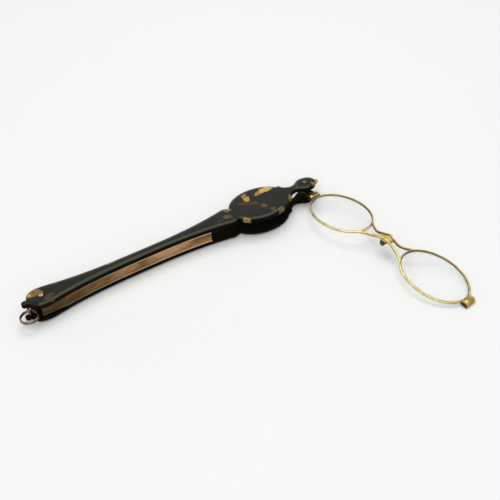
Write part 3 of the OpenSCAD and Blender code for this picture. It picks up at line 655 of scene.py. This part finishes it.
def rim(name, side):
    """The wire's section, a rounded bar with a square groove, carried round the ellipse."""
    half_high, half_cut = 0.6, 0.0096
    across, up = squared(np.radians(np.linspace(-128, 128, 25)), 0.8)
    groove = [(-0.5, 0.46), (-0.545, 0.38), (-0.545, 0.32), (-0.2, 0.32),
              (-0.2, -0.32), (-0.545, -0.32), (-0.545, -0.38), (-0.5, -0.46)]
    section = np.concatenate([np.stack([RIM_HALF * across, half_high * up], -1), groove])
    turn = np.linspace(np.pi + half_cut, 3 * np.pi - half_cut, 240)
    turn, d = np.meshgrid(turn, section[:, 0], indexing="ij")
    height = np.broadcast_to(section[:, 1], d.shape)[..., None]
    grid = np.concatenate([rim_point(turn, d), height], -1)
    # Painted shade on the wire's inner side and underside, with dirt in the groove.
    inward, below = np.clip(-section[:, 0] / 0.3, 0, 1), np.clip(-section[:, 1] / 0.5, 0, 1)
    dirt_and_shade = np.broadcast_to(np.maximum(0.85 * inward, 0.7 * below), d.shape)
    made = put_mesh(name, placed(grid, side), loop_faces(240, len(section)), bright_gilt, 40.0, dirt_and_shade)
    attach(made, side + "_eye")
    return made


for side in ("near", "far"):
    bent = rim(side + "_rim_wire", side)
    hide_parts(side + "_rim")

# --- Closing blocks
# Each lens is clamped by two jaws brazed to its split rim, pulled together by a small screw with a
# domed head. The near one's upper jaw has a channel filed along it, and the far one has a lip below.
UPPER_LOW, UPPER_HIGH = 0.17, 1.25
LOWER_LOW, LOWER_HIGH = -0.9, 0.13
BLOCK_OUT, FAR_LIP = -21.65, 0.6
SCREW_X, SCREW_Y = -20.35, -1.4


def jaw(name, side, low, high, corner, lip=0.0, channel=False):
    """A bar along Y whose section is a rectangle with rounded upper corners, hollowed to the rim inside.

    Its inner side follows the rim's outer edge, x = -a sqrt(1 - (y / b)^2), and its ends are rounded off.
    Each point of the section has its share of the way from the outer to the inner side, its distance
    from there, its height and its darkening: painted shade under the jaw, on the side against the rim,
    low on the outer side and in the channel, with dirt. The end towards the handle's tail is darkened too.
    """
    rim_a, rim_b = RIM_A + RIM_HALF, RIM_B + RIM_HALF
    half_long, end_r, step, overlap = 3.3, 0.3, 0.06, 0.05
    y = half_long * np.sin(np.linspace(-np.pi / 2, np.pi / 2, 41))[:, None]
    trim = end_r * (1 - np.sqrt(1 - np.clip((np.abs(y) - half_long + end_r) / end_r, 0, 1) ** 2))
    inner, outer = overlap - rim_a * np.sqrt(1 - (y / rim_b) ** 2), BLOCK_OUT - lip
    a = np.linspace(0, np.pi / 2, 6)
    off, drop = corner * (1 - np.cos(a)), corner * (1 - np.sin(a))
    # Painted shade, with dirt: the bottom, the side against the rim, the lower outer side and the channel.
    loop = [(1, -step, low, 0.8), (1, 0, low + step, 0.8)]
    loop += zip(np.ones(6), -off, high - drop, 0.8 - 0.8 * a / a[-1])
    if channel:
        loop += [(0, 1.78, high, 0), (0, 1.72, high - step, 0.6), (0, 1.7, high - 0.6, 1),
                 (0, 0.86, high - 0.6, 1), (0, 0.84, high - step, 0.6), (0, 0.78, high, 0)]
    loop += zip(np.zeros(6), off[::-1], high - drop[::-1], np.zeros(6))
    loop += [(0, 0, low + step, 0.8), (0, step, low, 0.8)]
    share, off, z, dirt_and_shade = np.array(loop).T
    x = share * inner + (1 - share) * outer + off - trim * np.where(share > 0.5, 1, -1)
    z = z - 0.6 * trim * np.sign(z - (low + high) / 2)
    grid = np.stack(np.broadcast_arrays(x, y, z), -1)
    dirt_and_shade = np.maximum(dirt_and_shade, 0.9 * np.clip(-(y + 2.7) / 0.5, 0, 1))
    made = put_mesh(name, placed(grid, side), loop_faces(len(y), len(share)), block_gilt, 40.0, dirt_and_shade)
    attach(made, side + "_eye")
    return made


screw_gilt = metal("screw_gilt", (236, 216, 164), (180, 150, 98), 0.2, 900.0, dirt=(46, 32, 14))
swell = np.linspace(0, np.pi / 2 - 0.04, 10)
head = np.stack([0.84 * np.cos(swell), 1.26 + 0.2 * np.sin(swell)], -1)
profile = np.concatenate([[(0.02, -0.88), (0.44, -0.88), (0.44, 1.24), (0.84, 1.25)], head])
# Painted shade: a dark ring round the edge of each screw's head.
dirt_and_shade = np.repeat(np.clip((profile[:, 0] - 0.72) / 0.1, 0, 1), 32)
for side in ("near", "far"):
    if side == "near":
        upper_jaw = jaw("near_jaw_upper", side, UPPER_LOW, UPPER_HIGH, 0.3, channel=True)
        lower_jaw = jaw("near_jaw_lower", side, LOWER_LOW, LOWER_HIGH, 0.12)
    else:
        upper_jaw = jaw("far_jaw_upper", side, UPPER_LOW, UPPER_HIGH, 0.62)
        lower_jaw = jaw("far_jaw_lower", side, LOWER_LOW, LOWER_HIGH, 0.12, lip=FAR_LIP)
    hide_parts(side + "_block_upper")
    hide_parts(side + "_block_lower")
    rows = placed(turned(profile, 32) + [SCREW_X, SCREW_Y, 0], side)
    screw = put_mesh(side + "_screw", rows, loop_faces(len(profile), 32), screw_gilt, 50.0, dirt_and_shade)
    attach(screw, side + "_eye")
    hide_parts(side + "_block_screw")

# --- Bridge arms
# Two curved gilt wires run from each rim to the hinge. They grow deeper away from the rim, rise a
# little at the hinge and are brazed over the two sides of its half plate, proud of its top.


def arm(name, side, hand):
    """A rounded bar along a cubic curve that leaves the rim along its own line and ends at the pin's plane.

    Its depth and its height over the lens's plane grow by cosine steps in x.
    """
    half, start, end = 0.55, np.radians(31), 30.74
    beside, bow, lead = (1.55, 0.5, 3.6) if hand < 0 else (2.9, 3.4, 5.2)
    ahead = np.array([RIM_A * np.sin(start), -RIM_B * np.cos(start)])
    p0 = np.array([RIM_A * np.cos(start), RIM_B * np.sin(start)])
    p1 = p0 + ahead * lead / np.linalg.norm(ahead)
    p2, p3 = np.array([24.2, beside - bow]), np.array([end, beside])
    t = np.linspace(0, 1, 60)[:, None]
    path = (1 - t) ** 3 * p0 + 3 * (1 - t) ** 2 * t * p1 + 3 * (1 - t) * t ** 2 * p2 + t ** 3 * p3
    along = np.gradient(path, axis=0)
    along /= np.linalg.norm(along, axis=1, keepdims=True)
    across = np.stack([-along[:, 1], along[:, 0]], -1)
    wide, high = squared(np.linspace(0, 2 * np.pi, 24, endpoint=False), 0.75)
    flat = path[:, None] + half * wide[:, None] * across[:, None]
    rise = 0.9 * smooth((path[:, :1] - 23.5) / 5.0)
    deep = 1 + 0.4 * smooth((path[:, :1] - 17.5) / 4.0)
    grid = np.concatenate([flat, (rise + deep * half * high)[..., None]], -1)
    grid[..., 1] *= hand
    # Painted shade: the underside and one flank of each arm are darker.
    dirt_and_shade = np.maximum(np.clip(0.15 - high, 0, 0.9), np.clip(-0.88 * wide, 0, 0.85))
    dirt_and_shade = np.broadcast_to(dirt_and_shade, grid.shape[:2])
    made = put_mesh(name, placed(grid, side), loop_faces(*grid.shape[:2]), bright_gilt, 50.0, dirt_and_shade)
    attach(made, side + "_eye")
    return made


for side in ("near", "far"):
    for hand, word in ((1, "left"), (-1, "right")):
        curved = arm(side + "_arm_" + word + "_wire", side, hand)
        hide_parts(side + "_arm_" + word)

# --- Bridge hinge
# A six-sided gilt plate sawn in two over a barrel of three knuckles; below the plate the gilt is
# painted dark brown as painted shade. The outer knuckles hang from the near half, the middle one from
# the far half, and a pin runs through all.


def shaded_below(tree, where, apart, gold):
    """Painted shade: dark brown below the plate, which the colour reaches as Z rises from 6.2 to 6.6 mm."""
    return blended(tree, ranged(tree, apart["Z"], 6.2 * MM, 6.6 * MM, 0, 1), linear(74, 62, 50), gold)


plate_gilt = metal("plate_gilt", (190, 166, 98), (164, 140, 76), 0.4, 260.0, (1.0, 0.2, 1.0))
recoloured(plate_gilt, shaded_below)
dull_steel = metal("dull_steel", (128, 118, 104), (78, 68, 56), 0.36, 700.0)
softened("near_leaf", "near_eye", 0.06, plate_gilt)
softened("far_leaf", "far_eye", 0.06, plate_gilt)
softened("hinge_pin", "near_eye", 0.1, dull_steel)

# --- Lenses
# Two clear oval glasses, a little domed on both faces, with an edge that sits in the rim's groove.
# They are ground glass with the faintest smears on it.
clear_glass, tree, shader = new_material("clear_glass")
where = tree.nodes.new("ShaderNodeTexCoord").outputs["Object"]
smear = ranged(tree, noise(tree, where, 60.0, 5.0), 0.5, 0.8, 0.0, 0.06)
tree.links.new(smear, shader.inputs["Roughness"])
shader.inputs["Base Color"].default_value = (0.96, 0.985, 0.975, 1.0)
shader.inputs["IOR"].default_value = 1.5
shader.inputs["Transmission Weight"].default_value = 1.0
shader.inputs["Alpha"].default_value = 0.25


def lens(name, side):
    """Ovals at falling shares of the rim's inner line, from the lower crown round the edge to the upper."""
    columns, half_edge, bulge = 120, 0.32, 0.23
    turn = np.linspace(0, 2 * np.pi, columns, endpoint=False)
    shares = np.linspace(0.02, 1, 16)[:, None, None]
    face, edge = rim_point(turn, np.full(columns, -0.55)), rim_point(turn, np.full(columns, -0.25))
    crown = np.broadcast_to(half_edge + bulge * (1 - shares ** 2), (16, columns, 1))
    upper = np.concatenate([face * shares, crown], -1)
    border = np.column_stack([edge, np.full(columns, half_edge)])
    grid = np.concatenate([upper * [1, 1, -1], [border * [1, 1, -1], border], upper[::-1]])
    made = put_mesh(name, placed(grid, side), loop_faces(len(grid), columns), clear_glass, 40.0)
    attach(made, side + "_eye")
    return made


for side in ("near", "far"):
    ground = lens(side + "_lens_glass", side)
    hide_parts(side + "_lens")
